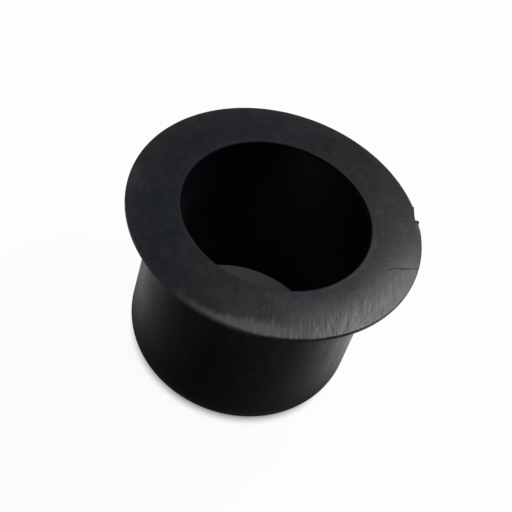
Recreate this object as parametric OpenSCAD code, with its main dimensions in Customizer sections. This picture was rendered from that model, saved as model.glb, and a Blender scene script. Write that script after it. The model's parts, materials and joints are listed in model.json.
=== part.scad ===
// Clutch fork bushing: one moulded piece, a thin-walled sleeve under a wide, thin flange.
// The fork's shaft turns in the bore, and the sleeve presses into a housing up to the flange.
// Origin: centre of the sleeve's end face, which the part stands on. +Z runs up to the flange.

/* [Bore] */
// Diameter of the bore
bore_d = 18; // [10:0.5:40]
// Rounding of the bore's two mouths
mouth_r = 0.2; // [0.1:0.05:0.4]

/* [Sleeve] */
// Overall length, from the sleeve's end to the top of the face
length = 19; // [12:0.5:40]
// Wall between the bore and the sleeve's outside
wall = 2; // [1.4:0.1:5]
// Height of the rounded nose at the sleeve's end
nose_h = 3; // [1:0.5:5]
// Width of the flat ring that is left on the sleeve's end
end_w = 0.6; // [0.2:0.1:0.9]

/* [Flange] */
// How far the flange stands out past the sleeve
lip_w = 3; // [2.6:0.2:8]
// Thickness of the flange at its rim
rim_t = 0.4; // [0.4:0.1:1.5]
// Rounding of the rim's two edges
rim_r = 0.12; // [0.05:0.01:0.16]
// Rise of the crowned face from the rim to the bore
crown_h = 0.4; // [0.1:0.1:1]
// Slope of the flange's underside, in degrees
under_slope = 12; // [2:1:20]
// Radius of the fillet between the underside and the sleeve
neck_r = 2; // [0.5:0.1:2.5]

/* [Torn gate on the rim] */
// Direction of the torn place from +X, in degrees
tear_angle = 23; // [0:1:359]
// Depth of the nick below the rim
nick_depth = 0.3; // [0.2:0.05:0.8]
// Width of the nick's floor
nick_floor = 0.7; // [0.5:0.1:1.5]
// Run of the nick's long side along the rim
nick_long = 1.9; // [0.8:0.1:2.5]
// Run of the nick's short side along the rim
nick_short = 1; // [0.3:0.1:1.5]
// Width of the burr and the stub
burr_w = 0.3; // [0.2:0.05:0.5]
// How far the burr on the nick's floor stands out past the rim
burr_out = 0.15; // [0.05:0.05:0.4]
// How far the stub beside the nick's long side stands out past the rim
stub_out = 0.1; // [0.05:0.05:0.4]
// Angle from the burr round to the stub, in degrees
stub_angle = 7; // [5:0.5:12]

/* [Hidden] */

$fn = 180;
over = 1;                                   // how far a cutter runs past what it cuts

bore_r = bore_d / 2;
sleeve_r = bore_r + wall;
flange_r = sleeve_r + lip_w;

// The face is an arc that is level at the bore's mouth and falls to the rim.
crown_in = bore_r + mouth_r;
crown_run = flange_r - crown_in;
crown_r = (crown_run * crown_run + crown_h * crown_h) / (2 * crown_h);
crown_centre = [crown_in, length - crown_r];

// The rim's vertical side, and the straight underside that slopes down from it.
rim_z = length - crown_h;
under_z = rim_z - rim_t;
function underside(x) = under_z - (flange_r - x) * tan(under_slope);
under_normal = [sin(under_slope), -cos(under_slope)];

// The fillet touches the underside and the sleeve.
neck_x = sleeve_r + neck_r;
neck_centre = [neck_x, underside(neck_x - neck_r * under_normal.x) + neck_r * under_normal.y];
neck_touch = neck_centre - neck_r * under_normal;

// The nose is an arc that runs into the sleeve's side and ends at the flat ring.
nose_in = wall - mouth_r - end_w;
nose_r = (nose_h * nose_h + nose_in * nose_in) / (2 * nose_in);
nose_centre = [sleeve_r - nose_r, nose_h];

// The rounded edges of the rim: the upper touches the crown, the lower the underside.
edge_x = flange_r - rim_r;
edge_reach = edge_x - crown_centre.x;
upper_edge = [edge_x, crown_centre.y + sqrt(pow(crown_r - rim_r, 2) - edge_reach * edge_reach)];
lower_edge = [edge_x, underside(edge_x) + rim_r / cos(under_slope)];
crown_normal = (upper_edge - crown_centre) / norm(upper_edge - crown_centre);

// Rectangle between two opposite corners.
module box2d(low, high) {
    translate(low) square(high - low);
}

// What lies between a circle and the square corner from its centre out to reach.
module outside_round(centre, radius, reach) {
    difference() {
        polygon([centre, [reach.x, centre.y], reach, [centre.x, reach.y]]);
        translate(centre) circle(radius);
    }
}

// What lies between a rim edge's circle and the space outside it, from a surface's normal
// round to the rim's vertical side.
module outside_edge(centre, normal) {
    far = centre + over * normal;
    difference() {
        polygon([centre, far, [flange_r + over, far.y], [flange_r + over, centre.y]]);
        translate(centre) circle(rim_r);
    }
}

module sleeve_section() {
    box2d([bore_r, 0], [sleeve_r, rim_z]);
}

module flange_section() {
    intersection() {
        polygon([
            [bore_r, underside(bore_r)], [flange_r, under_z], [flange_r, length], [bore_r, length]
        ]);
        translate(crown_centre) circle(crown_r, $fn = 720);
    }
}

// Fills the corner under the flange, and is hollowed by the fillet's circle.
module neck_section() {
    difference() {
        polygon([
            [bore_r, neck_centre.y], neck_centre, neck_touch, [bore_r, neck_touch.y]
        ]);
        translate(neck_centre) circle(neck_r);
    }
}

// Half of the bushing's section, turned about the Z axis to make it.
module section() {
    difference() {
        union() {
            sleeve_section();
            flange_section();
            neck_section();
        }
        outside_round(nose_centre, nose_r, [sleeve_r + over, -over]);
        outside_round([bore_r + mouth_r, mouth_r], mouth_r, [bore_r - over, -over]);
        outside_round([crown_in, length - mouth_r], mouth_r, [bore_r - over, length + over]);
        outside_edge(upper_edge, crown_normal);
        outside_edge(lower_edge, under_normal);
    }
}

// Nick where the moulding's gate was torn from the rim: a floor, one long side and one short.
module nick() {
    floor_x = flange_r - nick_depth;
    far_x = flange_r + over;
    side = 1 + over / nick_depth;
    rotate(tear_angle) translate([0, 0, under_z - lip_w])
        linear_extrude(length)
            polygon([
                [floor_x, -nick_floor / 2],
                [far_x, -nick_floor / 2 - nick_short * side],
                [far_x, nick_floor / 2 + nick_long * side],
                [floor_x, nick_floor / 2]
            ]);
}

// Finger of torn plastic with a round tip, from the nick's depth out past the rim.
module burr(angle, out) {
    root_x = flange_r - nick_depth;
    tip_x = flange_r + out - burr_w / 2;
    rotate(tear_angle + angle) translate([0, 0, under_z + rim_r / 2])
        linear_extrude(rim_t - rim_r) {
            box2d([root_x, -burr_w / 2], [tip_x, burr_w / 2]);
            translate([tip_x, 0]) circle(burr_w / 2);
        }
}

module bushing() {
    color([0.16, 0.16, 0.17]) union() {
        difference() {
            rotate_extrude() section();
            nick();
        }
        burr(0, burr_out);
        burr(stub_angle, stub_out);
    }
}

bushing();
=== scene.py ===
"""Clutch fork bushing: a moulded black plastic sleeve under a wide, thin flange.

+Z runs up the bore, and the sleeve stands on z = 0. Lengths are in metres, and in millimetres where
a name ends in _mm and throughout the materials, which also count directions from +X in degrees.
"""

import json
import math

import bpy
from mathutils import Matrix, Vector


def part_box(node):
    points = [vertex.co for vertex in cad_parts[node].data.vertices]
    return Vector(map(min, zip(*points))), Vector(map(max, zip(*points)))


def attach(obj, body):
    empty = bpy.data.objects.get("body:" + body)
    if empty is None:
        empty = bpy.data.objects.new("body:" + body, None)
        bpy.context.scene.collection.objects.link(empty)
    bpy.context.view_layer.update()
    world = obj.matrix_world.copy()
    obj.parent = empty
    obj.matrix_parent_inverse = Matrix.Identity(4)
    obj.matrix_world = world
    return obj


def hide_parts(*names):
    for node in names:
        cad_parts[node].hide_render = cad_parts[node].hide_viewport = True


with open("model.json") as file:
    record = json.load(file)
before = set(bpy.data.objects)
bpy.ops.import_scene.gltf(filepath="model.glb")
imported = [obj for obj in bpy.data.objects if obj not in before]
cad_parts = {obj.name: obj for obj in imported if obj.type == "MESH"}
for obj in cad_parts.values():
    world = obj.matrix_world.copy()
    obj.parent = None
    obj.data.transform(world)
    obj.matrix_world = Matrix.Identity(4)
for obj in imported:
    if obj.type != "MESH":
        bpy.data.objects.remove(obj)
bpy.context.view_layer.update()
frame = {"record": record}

bl_info = {
    "name": "Clutch fork bushing",
    "version": (1, 0, 0),
    "blender": (4, 5, 0),
    "location": "View3D > Sidebar > Bushing",
    "description": "Models a flanged plastic bushing with its finish, and a plain stage for it",
    "category": "Add Mesh",
}

MM = 0.001
NODE = "bushing"
MOUNTS = {mount["name"]: mount["dims"] for mount in frame["record"]["mounts"]}
BORE_R = MOUNTS["shaft_bore"]["r_mm"] * MM
SLEEVE_R = MOUNTS["housing_seat"]["r_mm"] * MM
FLANGE_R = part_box(NODE)[1].x
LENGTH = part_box(NODE)[1].z
SMOOTH_ANGLE = math.radians(32)


def length_setting(name, description, default):
    """A length property in metres."""
    return bpy.props.FloatProperty(
        name=name, description=description, default=default, min=0.0, precision=5,
        subtype="DISTANCE", unit="LENGTH",
    )


def angle_setting(name, description, degrees):
    """An angle property, stored in radians."""
    return bpy.props.FloatProperty(
        name=name, description=description, default=math.radians(degrees), subtype="ANGLE",
        unit="ROTATION",
    )


def share_setting(name, description, default):
    """A property that holds a plain number from 0 up."""
    return bpy.props.FloatProperty(name=name, description=description, default=default, min=0.0)


def colour_setting(name, description, default):
    """A colour property, in linear values."""
    return bpy.props.FloatVectorProperty(
        name=name, description=description, default=default, size=3, min=0.0, max=1.0,
        subtype="COLOR",
    )


class BushingSizes(bpy.types.PropertyGroup):
    """The bushing's section and the torn place on its rim."""

    bore_r: length_setting("Bore radius", "Radius of the bore", BORE_R)
    sleeve_r: length_setting("Sleeve radius", "Outer radius of the sleeve", SLEEVE_R)
    flange_r: length_setting("Flange radius", "Radius of the flange", FLANGE_R)
    length: length_setting("Length", "From the sleeve's end to the top of the face", LENGTH)
    mouth_r: length_setting("Mouth rounding", "Rounding of the bore's two mouths", 0.1 * MM)
    nose_h: length_setting("Nose height", "Height of the rounded nose", 3 * MM)
    end_w: length_setting("End ring", "Width of the flat ring on the sleeve's end", 0.7 * MM)
    rim_t: length_setting("Rim thickness", "Thickness of the flange at its rim", 0.4 * MM)
    rim_r: length_setting("Rim rounding", "Rounding of the rim's two edges", 0.12 * MM)
    crown_h: length_setting("Crown", "Rise of the face from the rim to the bore", 0.4 * MM)
    neck_r: length_setting("Neck fillet", "Fillet between the underside and the sleeve", 2 * MM)
    under_slope: angle_setting("Underside slope", "Slope of the flange's underside", 12)
    tear_angle: angle_setting("Tear direction", "Direction of the torn gate from +X", 23)
    nick_depth: length_setting("Nick depth", "Depth of the nick below the rim", 0.3 * MM)
    nick_floor: length_setting("Nick floor", "Width of the nick's floor", 0.7 * MM)
    nick_long: length_setting("Nick, long side", "Run of the nick's long side", 1.9 * MM)
    nick_short: length_setting("Nick, short side", "Run of the nick's short side", 1.0 * MM)
    burr_w: length_setting("Burr width", "Width of the burr and the stub", 0.3 * MM)
    burr_out: length_setting("Burr", "How far the burr stands out past the rim", 0.15 * MM)
    stub_out: length_setting("Stub", "How far the stub stands out past the rim", 0.1 * MM)
    stub_angle: angle_setting("Stub direction", "Angle from the burr round to the stub", 7)
    segments: bpy.props.IntProperty(
        name="Segments", description="Steps of the turned form", default=384, min=24, max=720,
    )


class BushingFinish(bpy.types.PropertyGroup):
    """Colours and surface of the black plastic."""

    plastic: colour_setting("Plastic", "Colour of the moulded plastic", (0.0072, 0.0072, 0.0073))
    cool: colour_setting("Cool cast", "Colour of its bluish patches", (0.0056, 0.0092, 0.0146))
    violet: colour_setting("Violet cast", "Colour of its violet patches", (0.0096, 0.0076, 0.0160))
    # Painted shade: the near-black that the bore's wall, the mouth's edge, the torn tips and the
    # sleeve's front are darkened towards.
    bore: colour_setting("Bore", "Colour of the bore's wall", (0.0016, 0.0016, 0.0018))
    # A painted bluish glimmer: the bore's wall under its mouth on the far side is darkened towards
    # it instead.
    glim: colour_setting("Glimmer", "Colour of the wall under its mouth", (0.0014, 0.0021, 0.0115))
    # Also the colour of the painted highlights: the lip, the crack's pale end, the glint and the
    # rim's side.
    worn: colour_setting("Worn plastic", "Colour of the worn places", (0.092, 0.102, 0.108))
    rubbed: colour_setting("Worn patches", "Violet patches of them", (0.103, 0.098, 0.113))
    roughness: share_setting("Roughness", "Roughness of the moulded skin", 0.36)
    gloss: share_setting("Gloss", "Specular level of the plastic", 0.37)
    grain_mm: share_setting("Grain", "Height of the moulded skin's grain, in mm", 0.004)


class StageSettings(bpy.types.PropertyGroup):
    """Camera, lamp, floor and surroundings."""

    aim: bpy.props.FloatVectorProperty(
        name="Aim", description="Point that the camera looks at",
        default=(-0.54 * MM, 0.0, 12.43 * MM), subtype="TRANSLATION", unit="LENGTH",
    )
    distance: length_setting("Distance", "From the camera to the point it looks at", 130.5 * MM)
    elevation: angle_setting("Elevation", "How far above the horizon the camera is", 48.31)
    roll: angle_setting("Roll", "How far the camera leans to the left", 19.14)
    lens_mm: share_setting("Lens", "Focal length, in mm", 96.24)
    lamp_azimuth: angle_setting("Lamp direction", "Direction of the lamp from +X", 44)
    lamp_elevation: angle_setting("Lamp elevation", "How far above the horizon the lamp is", 52)
    lamp_distance: length_setting("Lamp distance", "From the bushing to the lamp", 0.4)
    lamp_size: length_setting("Lamp size", "Side of the square lamp", 0.14)
    radiance: share_setting("Lamp brightness", "Brightness, where a white surface is 1", 19.5)
    ambient: share_setting("Ambient", "Brightness of the even light from all sides", 0.12)
    floor_r: length_setting("Floor radius", "Radius of the round floor", 1.5)
    floor: colour_setting("Floor", "Colour of the floor", (0.82, 0.82, 0.82))


# Shader maths ------------------------------------------------------------------------------


class Wire:
    """A node's output that can be used in expressions; each operator adds a Math node."""

    def __init__(self, shader, socket):
        self.shader = shader
        self.socket = socket

    def out(self, name):
        """Another output of the same node."""
        return Wire(self.shader, self.socket.node.outputs[name])

    def math(self, operation, *values):
        """A Math node that takes this value first."""
        return self.shader.node("ShaderNodeMath", {"operation": operation}, self, *values)

    def reflected(self, operation, first):
        """A Math node that takes this value second."""
        return self.shader.node("ShaderNodeMath", {"operation": operation}, first, self)

    def __add__(self, other):
        return self.math("ADD", other)

    def __sub__(self, other):
        return self.math("SUBTRACT", other)

    def __rsub__(self, other):
        return self.reflected("SUBTRACT", other)

    def __mul__(self, other):
        return self.math("MULTIPLY", other)

    def __truediv__(self, other):
        return self.math("DIVIDE", other)

    def __rtruediv__(self, other):
        return self.reflected("DIVIDE", other)

    def __pow__(self, other):
        return self.math("POWER", other)

    __radd__ = __add__
    __rmul__ = __mul__

    def larger(self, other):
        return self.math("MAXIMUM", other)

    def window(self, low, full, still, gone):
        """0 up to low, 1 from full to still, and 0 again past gone."""
        return self.rise(low, full) * self.rise(gone, still)

    def rise(self, low, high):
        """0 below low, 1 above high, and smooth between them. low may be the larger."""
        if low > high:
            return 1 - self.rise(high, low)
        settings = {"interpolation_type": "SMOOTHSTEP"}
        return self.shader.node("ShaderNodeMapRange", settings, self, low, high, 0.0, 1.0)


class Shader:
    """The node tree of a material or of the world, built from Wire expressions."""

    def __init__(self, owner):
        owner.use_nodes = True
        self.owner = owner
        self.tree = owner.node_tree
        self.tree.nodes.clear()

    def node(self, kind, settings=None, *values, **named):
        """Adds a node, sets it, fills its inputs in order or by name, and returns its output."""
        made = self.tree.nodes.new(kind)
        for key, value in (settings or {}).items():
            setattr(made, key, value)
        sockets = [socket for socket in made.inputs if socket.enabled]
        pairs = list(zip(sockets, values))
        pairs += [(made.inputs[key.replace("_", " ")], value) for key, value in named.items()]
        for socket, value in pairs:
            if isinstance(value, Wire):
                self.tree.links.new(value.socket, socket)
            else:
                socket.default_value = value
        enabled = [socket for socket in made.outputs if socket.enabled]
        return Wire(self, enabled[0]) if enabled else None

    def vector(self, x, y, z):
        return self.node("ShaderNodeCombineXYZ", None, x, y, z)

    def position_mm(self):
        """Object coordinates in millimetres, as one vector and as x, y and z."""
        place = self.node("ShaderNodeTexCoord").out("Object")
        scaled = self.node("ShaderNodeVectorMath", {"operation": "SCALE"}, place, Scale=1 / MM)
        parts = self.node("ShaderNodeSeparateXYZ", None, scaled)
        return scaled, parts.out("X"), parts.out("Y"), parts.out("Z")

    def noise(self, vector, scale, detail, roughness):
        """Noise that varies evenly round 0, by up to about a half."""
        made = self.node(
            "ShaderNodeTexNoise", None, Vector=vector, Scale=scale, Detail=detail,
            Roughness=roughness,
        )
        return made - 0.5

    def blend(self, share, low, high):
        """A colour between two, by share."""
        colours = [value if isinstance(value, Wire) else (*value, 1.0) for value in (low, high)]
        return self.node("ShaderNodeMix", {"data_type": "RGBA"}, share, *colours)

    def bump(self, height_mm):
        """The normal of a surface that stands out by a height."""
        return self.node("ShaderNodeBump", None, Strength=1.0, Distance=MM, Height=height_mm)

    def finish(self, surface):
        """Sends a surface to the tree's output."""
        kind = "World" if isinstance(self.owner, bpy.types.World) else "Material"
        self.node("ShaderNodeOutput" + kind, None, Surface=surface)


# Finish of the plastic ---------------------------------------------------------------------

TOP_MM, BORE_MM, SLEEVE_MM, RIM_MM = LENGTH / MM, BORE_R / MM, SLEEVE_R / MM, FLANGE_R / MM

# The crack's inner end, as (x, y), its slope there, and how it bends.
CRACK_START, CRACK_SLOPE, CRACK_BEND = (10.76, -2.62), 0.9, 0.08

# The scratches run in the direction of +Y, turned by this towards -X.
SCRATCH_TURN = math.radians(11)


class Skin:
    """The bushing's surface: where a point of it lies, and the noises that break it up there.

    radius is its distance from the bore's axis and turn its direction. face is 1 on the flange's
    face, and sleeve is 1 on the outside below the flange's rim. The noises from coarse to fine are
    patch, cloud, mottle and fine. broad and thin run along the radius, drawn runs down the sleeve,
    and scuff and hair are scratches across the face.
    """

    def __init__(self, shader):
        self.shader = shader
        place, x, y, z = shader.position_mm()
        self.x, self.y, self.z = x, y, z
        self.radius = (x * x + y * y) ** 0.5
        self.turn = y.math("ARCTAN2", x) * (180 / math.pi)
        self.face = z.rise(TOP_MM - 0.55, TOP_MM - 0.45) * self.radius.rise(BORE_MM, BORE_MM + 0.15)
        self.sleeve = z.rise(TOP_MM - 1.2, TOP_MM - 1.6)
        self.sleeve = self.sleeve * self.radius.rise(BORE_MM + 0.3, BORE_MM + 0.5)

        self.patch = shader.noise(place, 0.16, 2.0, 0.5)
        self.cloud = shader.noise(place, 0.3, 3.0, 0.55)
        self.mottle = shader.noise(place, 1.3, 4.0, 0.6)
        self.fine = shader.noise(place, 7.0, 3.0, 0.6)
        self.broad = self.streaks(across=1.1, along=0.18, seed=11.0)
        self.thin = self.streaks(across=3.4, along=0.5, seed=3.0)
        self.drawn = self.mould_marks(across=1.6, along=0.06)
        self.scuff = self.scratches(1.5, 0.5, across=1.7, along=0.42, seed=4.0)
        self.hair = self.scratches(2.0, 0.6, across=4.0, along=0.7, seed=9.0)

    def streaks(self, across, along, seed):
        """Noise drawn out along the radius. across and along are its features per millimetre."""
        turn = across * RIM_MM / self.radius
        vector = self.shader.vector(self.x * turn + seed, self.y * turn, self.radius * along)
        return self.shader.noise(vector, 1.0, 2.0, 0.55)

    def mould_marks(self, across, along):
        """Noise drawn out along the bore, for the marks that the mould leaves on the sleeve."""
        turn = across * SLEEVE_MM / self.radius
        vector = self.shader.vector(self.x * turn, self.y * turn, self.z * along)
        return self.shader.noise(vector, 1.0, 3.0, 0.6)

    def scratches(self, detail, roughness, across, along, seed):
        """Noise drawn out in one direction, the same all over the face."""
        c, s = math.cos(SCRATCH_TURN), math.sin(SCRATCH_TURN)
        aside, ahead = self.x * c + self.y * s, self.y * c - self.x * s
        vector = self.shader.vector(aside * across, ahead * along, seed)
        return self.shader.noise(vector, 1.0, detail, roughness)


def ragged_reach(skin):
    """How far the worn band's inner edge strays in and out."""
    return skin.broad * 2.0 + skin.scuff * 3.2 + skin.cloud * 1.2


def rubbed_band(skin):
    """The band that is rubbed into the face, which reaches further in towards the crack."""
    reach = 13.7 - skin.turn.rise(-118, -22) * 2.7
    band = (skin.radius + ragged_reach(skin) - reach).rise(-0.6, 2.6)
    return band * skin.turn.window(-126, -84, -16, 6) * skin.face


def below_crack(skin):
    """1 on the side of the crack where the band is, and 0 past it."""
    along = skin.x - CRACK_START[0]
    crack_y = along * CRACK_SLOPE - along ** 2 * CRACK_BEND + CRACK_START[1]
    return (skin.y - crack_y + skin.mottle * 0.3).rise(0.15, -0.15)


def chafed_mouth(skin):
    """The face beside the bore's mouth, where it is chafed."""
    edge = (skin.radius + skin.mottle * 0.8).rise(BORE_MM + 0.9, BORE_MM + 0.2)
    return edge * skin.turn.window(-58, -28, -2, 22) * skin.face


def torn_tips(skin):
    """The tips of the burr and of the stub, which are darkened as painted shade and made rougher.
    """
    tips = skin.turn.window(20.5, 22, 24.5, 27) + skin.turn.window(28, 29.3, 30.7, 32)
    return (skin.radius + skin.fine * 0.2).rise(RIM_MM - 0.22, RIM_MM + 0.02) * tips


def wear_and_highlight_share(skin, rubbed, chafed, haze):
    """How far the plastic is worn pale, with painted highlights and a painted reflection added in.
    """
    x, y, z, radius, turn, face = skin.x, skin.y, skin.z, skin.radius, skin.turn, skin.face
    mottle = skin.mottle
    below = below_crack(skin)

    # The scratched lines in the band, its pale end at the crack, worn and partly a painted
    # highlight, a painted glint at that end's rim, and what lies past the crack.
    lines = (skin.scuff + skin.hair * 0.35 + mottle * 0.5).rise(-0.02, 0.16)
    lines = lines * rubbed * turn.rise(-20, -60)
    flared = (radius + ragged_reach(skin) * 0.7).rise(11.5, 13.4)
    flared = flared * turn.window(-44, -24, 4, 8) * below * face
    glint = (radius + mottle * 2.5).rise(12.9, 13.8) * turn.window(-20, -12, -6, -3) * below * face
    spill = (radius + mottle * 3.0).rise(11.9, 13.6) * y.window(-3.5, -2, -0.6, 1.4)
    spill = spill * (1 - below) * face

    # A painted highlight along the lip at the front, the face paler towards the rim all round,
    # and the rim's side at the left and front lightened as a painted reflection.
    lip = radius + skin.broad * 0.4 + skin.scuff * 0.6 + mottle * 0.5 + turn.rise(-108, -82)
    lip = lip.rise(RIM_MM - 0.8, RIM_MM + 0.15) * turn.window(-122, -98, -84, -58) * face
    edge = (radius + mottle * 0.7).rise(RIM_MM - 1.0, RIM_MM - 0.2) * face
    side = radius.rise(RIM_MM - 0.14, RIM_MM - 0.03) * z.rise(TOP_MM - 0.95, TOP_MM - 0.8)
    side = side * turn.window(-185, -165, -98, -72)

    # Torn crumbs beside the nick, the face paler towards the rim on the far side, and paler on the
    # left.
    crumbs = (skin.fine * 0.8 + (radius - RIM_MM) * 0.35).rise(-0.18, 0.0)
    crumbs = crumbs * radius.rise(RIM_MM - 1.0, RIM_MM - 0.4) * turn.window(14, 18.5, 21, 22) * face
    far_rim_pale = (radius + skin.cloud * 1.5).rise(10.2, 13.9) * (y - x * 0.9).rise(-4, 10) * face
    left = x.rise(-8, -13) * face

    places = (
        (rubbed, 0.15), (lines, 0.38), (flared, 0.48), (glint, 0.3), (spill, 0.16), (lip, 0.62),
        (edge, 0.05), (side, 0.6), (crumbs, 0.85), (chafed, 0.14), (far_rim_pale, 0.08), (left, 0.035),
        (haze, 0.08),
    )
    return sum(place * share for place, share in places)


def black_plastic(finish):
    """Satin moulded black, scored and rubbed pale round one side of the flange's face.

    It has painted highlights and a painted reflection near the rim, and painted shade in the bore,
    at its mouth, on the torn tips and on the sleeve's front.
    """
    material = bpy.data.materials.new("moulded_black")
    shader = Shader(material)
    skin = Skin(shader)
    x, y, z, radius, turn = skin.x, skin.y, skin.z, skin.radius, skin.turn

    # Painted shade on the bore's wall, with a painted bluish glimmer on its far side under the
    # mouth, painted shade on the mouth's edge, and two parts of the sleeve: the front, darkened as
    # painted shade, and the pale left.
    inner = radius.rise(BORE_MM + 0.12, BORE_MM + 0.02)
    under = z.rise(TOP_MM - 7, TOP_MM - 0.5) * (y - x).rise(2, 12)
    mouth = radius.rise(BORE_MM + 0.24, BORE_MM + 0.1) * z.rise(TOP_MM - 0.4, TOP_MM - 0.1)
    mouth = mouth * (1 - turn.window(-146, -126, -76, -60))
    front = skin.sleeve * x.rise(-6, -2.5) * z.rise(15, 9)
    haze = skin.sleeve * x.window(-10, -7, -3.5, -1.5) * z.rise(3, 10) * y.rise(0, -4)
    rubbed, chafed, torn = rubbed_band(skin), chafed_mouth(skin), torn_tips(skin)
    wear_and_highlights = wear_and_highlight_share(skin, rubbed, chafed, haze)

    # Colour: the plastic with its casts, worn paler and lit by painted highlights, and then
    # darkened as painted shade where little light gets.
    near = turn.window(-85, -65, -32, -10) * radius.rise(13, 11.4) * skin.face
    cool = (skin.patch * 3 - x * 0.06 + near * 0.8).rise(-0.8, 0.8) * (1 - front)
    cool = cool * (1 - radius.rise(11.4, 13.2) * y.rise(-5, 3) * 0.75)
    tint = (skin.cloud * 4 + y * 0.07 + haze * 1.4).rise(-0.7, 0.7)
    cast = shader.blend(cool, finish.plastic, shader.blend(tint, finish.cool, finish.violet))
    pale = shader.blend((skin.patch * 5).rise(-0.6, 0.6), finish.worn, finish.rubbed)
    colour = shader.blend(skin.mottle.rise(-0.1, 0.25) * 0.07 + wear_and_highlights, cast, pale)
    colour = shader.blend(skin.drawn.rise(0.0, 0.22) * skin.sleeve * 0.08, colour, finish.worn)
    # Painted shade: the bore's wall, the mouth's edge and the tips of the burr and the stub are
    # darkened.
    shaded = (inner * 0.75).larger(mouth * (0.8 - chafed)).larger(torn * 0.95)
    # Painted shade on the sleeve's front.
    shaded = shaded.larger(front * x.rise(3, 0.5) * 0.5)
    colour = shader.blend(shaded, colour, shader.blend(under, finish.bore, finish.glim))

    # Roughness, and the height of the grain and of the scratches.
    rough = skin.cloud * 0.2 + skin.mottle * 0.08 + skin.drawn * skin.sleeve * 0.25
    rough = rough + mouth * 0.5 + inner * (0.18 - under * 0.22) + torn * 0.5 + wear_and_highlights * 0.12
    grain = skin.fine * finish.grain_mm + skin.mottle * finish.grain_mm * 2
    scored = (skin.scuff + skin.hair * 0.4) * rubbed * 0.05 + skin.thin * skin.face * 0.006
    scored = scored + skin.drawn * skin.sleeve * 0.01
    shader.finish(shader.node(
        "ShaderNodeBsdfPrincipled", None, Base_Color=colour, Roughness=rough + finish.roughness,
        Specular_IOR_Level=finish.gloss, Normal=shader.bump(grain + scored),
    ))
    return material


# Modelling ---------------------------------------------------------------------------------


def deselect_all():
    """Leaves edit mode and deselects every object."""
    if bpy.context.object and bpy.context.object.mode != "OBJECT":
        bpy.ops.object.mode_set(mode="OBJECT")
    bpy.ops.object.select_all(action="DESELECT")


def arc(centre, radius, start, end, steps):
    """Points from one angle to another on a circle, both ends included."""
    angles = [start + (end - start) * step / steps for step in range(steps + 1)]
    return [(centre[0] + radius * math.cos(a), centre[1] + radius * math.sin(a)) for a in angles]


def straight(start, end, guard):
    """A straight stretch with a guard point just inside each end, which keeps its shading flat."""
    start, end = Vector(start), Vector(end)
    step = (end - start).normalized() * guard
    return [tuple(start), tuple(start + step), tuple(end - step), tuple(end)]


def crown_arc(s):
    """The crowned face's arc: the radius where it starts, how far out it runs, and its radius."""
    start = s.bore_r + s.mouth_r
    run = s.flange_r - start
    return start, run, (run ** 2 + s.crown_h ** 2) / (2 * s.crown_h)


def face_height(s, radius):
    """Height of the crowned face at a distance from the bore's axis."""
    start, run, crown_r = crown_arc(s)
    return s.length - crown_r + math.sqrt(crown_r ** 2 - max(radius - start, 0.0) ** 2)


def section(s):
    """The bushing's section as (x, z) points, from the bore's foot round the outside to its top."""
    guard = 0.3 * MM
    nose_in = s.sleeve_r - s.bore_r - s.mouth_r - s.end_w
    nose_r = (s.nose_h ** 2 + nose_in ** 2) / (2 * nose_in)
    nose_turn = -math.asin(s.nose_h / nose_r)
    nose = arc((s.sleeve_r - nose_r, s.nose_h), nose_r, nose_turn, 0.0, steps=16)

    rim_z = s.length - s.crown_h
    under_z = rim_z - s.rim_t
    slope = s.under_slope
    neck_x = s.sleeve_r + s.neck_r
    touch_x = neck_x - s.neck_r * math.sin(slope)
    touch_z = under_z - (s.flange_r - touch_x) * math.tan(slope)
    neck_z = touch_z - s.neck_r * math.cos(slope)
    neck = arc((neck_x, neck_z), s.neck_r, math.pi, math.pi / 2 + slope, steps=16)

    start, run, crown_r = crown_arc(s)
    rim_turn = math.pi / 2 - math.asin(run / crown_r)
    crown = arc((start, s.length - crown_r), crown_r, rim_turn, math.pi / 2, steps=20)

    outline = [(s.bore_r, 0.0), *nose[:-1], *straight(nose[-1], neck[0], guard), *neck[1:-1]]
    outline += straight(neck[-1], (s.flange_r, under_z), guard)
    outline += [*crown, (s.bore_r, s.length)]
    return outline + straight((s.bore_r, s.length), (s.bore_r, 0.0), guard)[1:-1]


def turn_outline(name, outline, segments):
    """Extrudes one point along a closed outline in the XZ plane, and spins the outline about Z."""
    deselect_all()
    bpy.ops.mesh.primitive_plane_add(size=MM, location=(outline[0][0], 0.0, outline[0][1]))
    piece = bpy.context.object
    piece.name = name
    bpy.ops.object.mode_set(mode="EDIT")
    bpy.ops.mesh.select_all(action="SELECT")
    bpy.ops.mesh.merge(type="CENTER")
    for here, there in zip(outline, outline[1:]):
        move = (there[0] - here[0], 0.0, there[1] - here[1])
        bpy.ops.mesh.extrude_region_move(TRANSFORM_OT_translate={"value": move})
    bpy.ops.mesh.select_all(action="SELECT")
    bpy.ops.mesh.edge_face_add()
    bpy.ops.mesh.delete(type="ONLY_FACE")
    bpy.ops.mesh.select_all(action="SELECT")
    bpy.ops.mesh.spin(
        steps=segments, angle=math.tau, center=(0, 0, 0), axis=(0, 0, 1), use_auto_merge=True
    )
    bpy.ops.mesh.select_all(action="SELECT")
    bpy.ops.mesh.remove_doubles(threshold=0.001 * MM)
    bpy.ops.mesh.normals_make_consistent(inside=False)
    bpy.ops.object.mode_set(mode="OBJECT")
    bpy.ops.object.transform_apply(location=True, rotation=True, scale=True)
    return piece


def select_rings(piece, places):
    """In edit mode, selects the edges of the rings at these (radius, height) places only."""
    near = 0.01 * MM
    bpy.ops.mesh.select_mode(type="VERT")
    bpy.ops.mesh.select_all(action="DESELECT")
    bpy.ops.object.mode_set(mode="OBJECT")
    for vertex in piece.data.vertices:
        at = Vector((vertex.co.xy.length, vertex.co.z))
        vertex.select = any((at - Vector(place)).length < near for place in places)
    bpy.ops.object.mode_set(mode="EDIT")
    bpy.ops.mesh.select_mode(type="EDGE")


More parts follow.
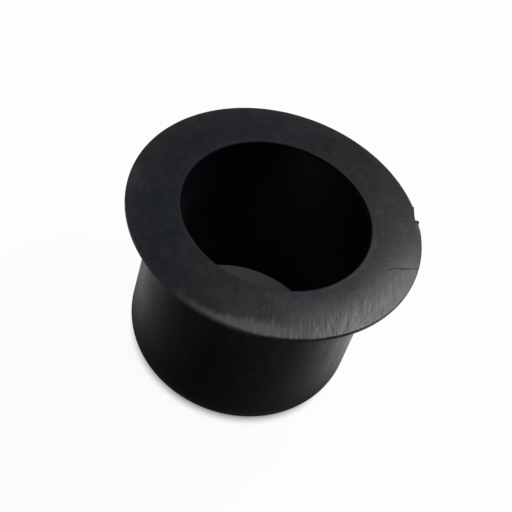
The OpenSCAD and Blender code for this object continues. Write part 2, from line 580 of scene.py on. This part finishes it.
def round_rings(piece, places, radius):
    """Bevels the rings at these places to a radius."""
    deselect_all()
    bpy.context.view_layer.objects.active = piece
    piece.select_set(True)
    bpy.ops.object.mode_set(mode="EDIT")
    select_rings(piece, places)
    bpy.ops.mesh.bevel(offset=radius, segments=5, profile=0.5, affect="EDGES")
    bpy.ops.object.mode_set(mode="OBJECT")


def prism(name, outline, lows, high):
    """A closed prism over an (x, y) outline: a filled circle, its corners placed, extruded up.

    lows holds the heights of its lower corners, and high is the height of its highest upper one.
    """
    deselect_all()
    bpy.ops.mesh.primitive_circle_add(vertices=len(outline), radius=MM, fill_type="NGON")
    piece = bpy.context.object
    piece.name = name
    for vertex, (x, y), low in zip(piece.data.vertices, outline, lows):
        vertex.co = (x, y, low)
    bpy.ops.object.mode_set(mode="EDIT")
    bpy.ops.mesh.select_all(action="SELECT")
    rise = high - max(lows)
    bpy.ops.mesh.extrude_region_move(TRANSFORM_OT_translate={"value": (0, 0, rise)})
    bpy.ops.mesh.select_all(action="SELECT")
    bpy.ops.mesh.normals_make_consistent(inside=False)
    bpy.ops.object.mode_set(mode="OBJECT")
    return piece


def soften(piece, radius):
    """Rounds the edges round the top and the bottom of a prism that was just made."""
    upright = 0.9
    bpy.ops.object.mode_set(mode="EDIT")
    bpy.ops.mesh.select_mode(type="FACE")
    bpy.ops.mesh.select_all(action="DESELECT")
    bpy.ops.object.mode_set(mode="OBJECT")
    for face in piece.data.polygons:
        face.select = abs(face.normal.z) > upright
    bpy.ops.object.mode_set(mode="EDIT")
    bpy.ops.mesh.bevel(offset=radius, segments=3, affect="EDGES", clamp_overlap=True)
    bpy.ops.object.mode_set(mode="OBJECT")


def turned(points, angle):
    """(x, y) points turned about the origin."""
    c, s = math.cos(angle), math.sin(angle)
    return [(x * c - y * s, x * s + y * c) for x, y in points]


def combine(piece, tool, operation):
    """Applies a boolean between the piece and a tool, and deletes the tool."""
    deselect_all()
    bpy.context.view_layer.objects.active = piece
    piece.select_set(True)
    modifier = piece.modifiers.new(operation.lower(), "BOOLEAN")
    modifier.operation = operation
    modifier.object = tool
    modifier.solver = "MANIFOLD"
    bpy.ops.object.modifier_apply(modifier=modifier.name)
    bpy.data.objects.remove(tool)


def crack_face(piece, s):
    """Cuts the fine crack that runs out across the face to the rim, as deep as it is wide."""
    path_mm = [
        (10.70, -2.70, 0.01), (10.95, -2.40, 0.03), (11.30, -2.02, 0.05), (11.75, -1.66, 0.05),
        (12.30, -1.37, 0.07), (12.60, -1.25, 0.15), (12.85, -1.12, 0.08), (13.40, -0.80, 0.05),
        (14.02, -0.42, 0.06),
    ]
    path = [(x * MM, y * MM, width * MM) for x, y, width in path_mm]
    skew = 0.3
    outline = [(x + width * skew, y - width / 2) for x, y, width in path]
    outline += [(x - width * skew, y + width / 2) for x, y, width in reversed(path)]
    lows = [face_height(s, math.hypot(x, y)) - width for x, y, width in path]
    tool = prism("crack", outline, lows + lows[::-1], s.length + MM)
    combine(piece, tool, "DIFFERENCE")


def cut_nick(piece, s):
    """Cuts the ragged nick that the torn gate left in the rim."""
    edge, depth, half = s.flange_r, s.nick_depth, s.nick_floor / 2
    side = 1 + MM / depth
    nick = [
        (edge - depth, half), (edge - depth * 1.08, half * 0.3),
        (edge - depth * 0.92, -half * 0.5), (edge - depth, -half),
        (edge - depth * 0.62, -half - s.nick_short * 0.42),
        (edge + MM, -half - s.nick_short * side), (edge + MM, half + s.nick_long * side),
        (edge - depth * 0.45, half + s.nick_long * 0.5),
        (edge - depth * 0.8, half + s.nick_long * 0.24),
    ]
    low = s.length - s.crown_h - s.rim_t - MM
    tool = prism("nick", turned(nick, s.tear_angle), [low] * len(nick), s.length + MM)
    combine(piece, tool, "DIFFERENCE")


def add_finger(piece, s, name, turn, out, side, fall):
    """Adds a finger of torn plastic with a round tip, from inside the rim out past it.

    side holds its corners from the root to the tip on the side towards the crack, and fall is how
    steeply its underside drops towards the tip.
    """
    edge, depth = s.flange_r, s.nick_depth
    finger = [(edge - depth * 1.5, s.burr_w * 0.6), *side]
    tip = (edge + out - s.burr_w / 2, 0.0)
    finger += arc(tip, s.burr_w / 2, -math.pi * 0.4, math.pi * 0.62, steps=12)
    finger += [(edge - depth * 0.7, s.burr_w * 0.38)]
    low = s.length - s.crown_h - s.rim_t + s.rim_r / 2
    lows = [low - fall * max(x - edge + depth, 0.0) ** 2 / depth for x, y in finger]
    high = s.length - s.crown_h - s.rim_r / 2
    tool = prism(name, turned(finger, s.tear_angle + turn), lows, high)
    soften(tool, s.rim_r / 2)
    combine(piece, tool, "UNION")


def tear_rim(piece, s):
    """Tears the rim where the gate was: a nick, a burr with a web beside it, and a stub."""
    cut_nick(piece, s)
    edge, depth = s.flange_r, s.nick_depth
    web = s.nick_floor / 2 + s.nick_short * 0.7
    burr_side = [(edge - depth * 1.2, -web), (edge - depth * 0.2, -web), (edge, -s.burr_w * 0.9)]
    stub_side = [(edge - depth * 1.5, -s.burr_w * 0.6), (edge - depth * 0.7, -s.burr_w * 0.38)]
    add_finger(piece, s, "burr", 0.0, s.burr_out, burr_side, 0.18)
    add_finger(piece, s, "stub", s.stub_angle, s.stub_out, stub_side, 0.0)


# Operators ---------------------------------------------------------------------------------


class MESH_OT_bushing_add(bpy.types.Operator):
    """Model the bushing, tear its rim and give it its finish"""

    bl_idname = "mesh.bushing_add"
    bl_label = "Add bushing"
    bl_options = {"REGISTER", "UNDO"}

    def execute(self, context):
        s = context.scene.bushing_sizes
        piece = turn_outline("bushing_body", section(s), s.segments)
        rim_z = s.length - s.crown_h
        round_rings(piece, [(s.bore_r, 0.0), (s.bore_r, s.length)], s.mouth_r)
        round_rings(piece, [(s.flange_r, rim_z), (s.flange_r, rim_z - s.rim_t)], s.rim_r)
        tear_rim(piece, s)
        crack_face(piece, s)
        deselect_all()
        context.view_layer.objects.active = piece
        piece.select_set(True)
        bpy.ops.object.shade_smooth_by_angle(angle=SMOOTH_ANGLE)
        piece.data.materials.clear()
        piece.data.materials.append(black_plastic(context.scene.bushing_finish))
        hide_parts(NODE)
        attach(piece, "root")
        return {"FINISHED"}


# What share of the floor is plain white to the camera: beside the bushing, where the rest keeps
# its shadow, and inside the bore, where it is a faint painted light that falls off per millimetre
# along X.
WHITE_SHARE, BORE_SHARE, BORE_FALL = 0.955, 0.0155, 0.0011


def white_floor(colour):
    """White to the camera with the object's shadow on it, and plain floor to all other rays.

    Inside the bore it is nearly plain to the camera too, because the sleeve shades it there, and
    a faint painted light on it falls off along X.
    The plastic's gloss shows it as a painted glow: white behind and beside the bushing, with a
    painted shadow in front of it and round its foot.
    """
    material = bpy.data.materials.new("white_floor")
    shader = Shader(material)
    place, x, y, z = shader.position_mm()
    radius = (x * x + y * y) ** 0.5
    outside = radius.rise(BORE_MM + 0.3, SLEEVE_MM)
    plain = shader.node("ShaderNodeBsdfDiffuse", None, Color=(*colour, 1.0))
    ray = shader.node("ShaderNodeLightPath")
    camera, gloss = ray.out("Is Camera Ray"), ray.out("Is Glossy Ray")
    # Painted light and shadow seen in the gloss: bright behind and to the right, dark in front and
    # round the foot.
    behind = (y + radius * 0.3).rise(-10.5, 13) * (x.rise(-30, 12) * 0.42 + 0.55)
    behind = behind * (radius.rise(10.8, 15.5) * 0.93 + 0.07)
    white = camera + gloss * (behind + x.rise(-12, 25) * 0.07 + 0.03)
    glow = shader.node("ShaderNodeEmission", None, Color=white, Strength=1.0)
    inside = (1 - outside) * (BORE_SHARE - x * BORE_FALL)
    share = camera * (outside * WHITE_SHARE + inside) + gloss * outside
    shader.finish(shader.node("ShaderNodeMixShader", None, share, plain, glow))
    return material


def plain_world(ambient):
    """White to the camera, and a low even light to everything else."""
    world = bpy.data.worlds.new("studio")
    bpy.context.scene.world = world
    shader = Shader(world)
    camera = shader.node("ShaderNodeLightPath").out("Is Camera Ray")
    white = (1.0, 1.0, 1.0, 1.0)
    lit = shader.node("ShaderNodeBackground", None, Color=white, Strength=ambient)
    shown = shader.node("ShaderNodeBackground", None, Color=white, Strength=1.0)
    shader.finish(shader.node("ShaderNodeMixShader", None, camera, lit, shown))


def add_lamp(stage):
    """A square softbox that faces the middle of the bushing."""
    light = bpy.data.lights.new("key", "AREA")
    light.shape = "SQUARE"
    light.size = stage.lamp_size
    light.energy = stage.radiance * math.pi * stage.lamp_size ** 2
    lamp = bpy.data.objects.new("key", light)
    bpy.context.scene.collection.objects.link(lamp)
    level = math.cos(stage.lamp_elevation)
    out = Vector((
        math.cos(stage.lamp_azimuth) * level, math.sin(stage.lamp_azimuth) * level,
        math.sin(stage.lamp_elevation),
    ))
    lamp.location = out * stage.lamp_distance + Vector((0, 0, LENGTH / 2))
    lamp.rotation_mode = "QUATERNION"
    lamp.rotation_quaternion = out.to_track_quat("Z", "Y")


def add_camera(stage):
    """A camera that looks at the aim from the front and leans to the left by the roll."""
    forward = Vector((0, math.cos(stage.elevation), -math.sin(stage.elevation)))
    level = Vector((1, 0, 0))
    upright = level.cross(forward)
    right = level * math.cos(stage.roll) + upright * math.sin(stage.roll)
    up = right.cross(forward)
    camera = bpy.data.objects.new("camera", bpy.data.cameras.new("camera"))
    bpy.context.scene.collection.objects.link(camera)
    turn = Matrix((right, up, -forward)).transposed()
    place = Vector(stage.aim) - forward * stage.distance
    camera.matrix_world = Matrix.Translation(place) @ turn.to_4x4()
    camera.data.lens = stage.lens_mm
    camera.data.sensor_width = 36.0
    camera.data.clip_start = 0.01
    camera.data.clip_end = 10.0
    bpy.context.scene.camera = camera


class SCENE_OT_bushing_stage(bpy.types.Operator):
    """Add the floor, the lamp and the camera"""

    bl_idname = "scene.bushing_stage"
    bl_label = "Add stage"
    bl_options = {"REGISTER", "UNDO"}

    def execute(self, context):
        stage = context.scene.bushing_stage
        add_camera(stage)
        deselect_all()
        bpy.ops.mesh.primitive_circle_add(vertices=64, radius=stage.floor_r, fill_type="NGON")
        floor = context.object
        floor.name = "floor"
        floor.data.materials.append(white_floor(stage.floor))
        add_lamp(stage)
        plain_world(stage.ambient)
        context.scene.view_settings.view_transform = "Standard"
        return {"FINISHED"}


class VIEW3D_PT_bushing(bpy.types.Panel):
    """The bushing's sizes, finish and stage"""

    bl_idname = "VIEW3D_PT_bushing"
    bl_label = "Clutch fork bushing"
    bl_space_type = "VIEW_3D"
    bl_region_type = "UI"
    bl_category = "Bushing"

    def draw(self, context):
        groups = (
            ("Sizes", context.scene.bushing_sizes),
            ("Finish", context.scene.bushing_finish),
            ("Stage", context.scene.bushing_stage),
        )
        for title, group in groups:
            box = self.layout.box()
            box.label(text=title)
            for name in group.__annotations__:
                box.prop(group, name)
        self.layout.operator(MESH_OT_bushing_add.bl_idname)
        self.layout.operator(SCENE_OT_bushing_stage.bl_idname)


CLASSES = (
    BushingSizes, BushingFinish, StageSettings, MESH_OT_bushing_add, SCENE_OT_bushing_stage,
    VIEW3D_PT_bushing,
)
GROUPS = {
    "bushing_sizes": BushingSizes, "bushing_finish": BushingFinish, "bushing_stage": StageSettings,
}


def register():
    for cls in CLASSES:
        bpy.utils.register_class(cls)
    for name, group in GROUPS.items():
        setattr(bpy.types.Scene, name, bpy.props.PointerProperty(type=group))


def unregister():
    for name in GROUPS:
        delattr(bpy.types.Scene, name)
    for cls in reversed(CLASSES):
        bpy.utils.unregister_class(cls)


def main():
    """Builds the bushing and its stage."""
    register()
    bpy.ops.mesh.bushing_add()
    bpy.ops.scene.bushing_stage()


if __name__ == "__main__":
    main()
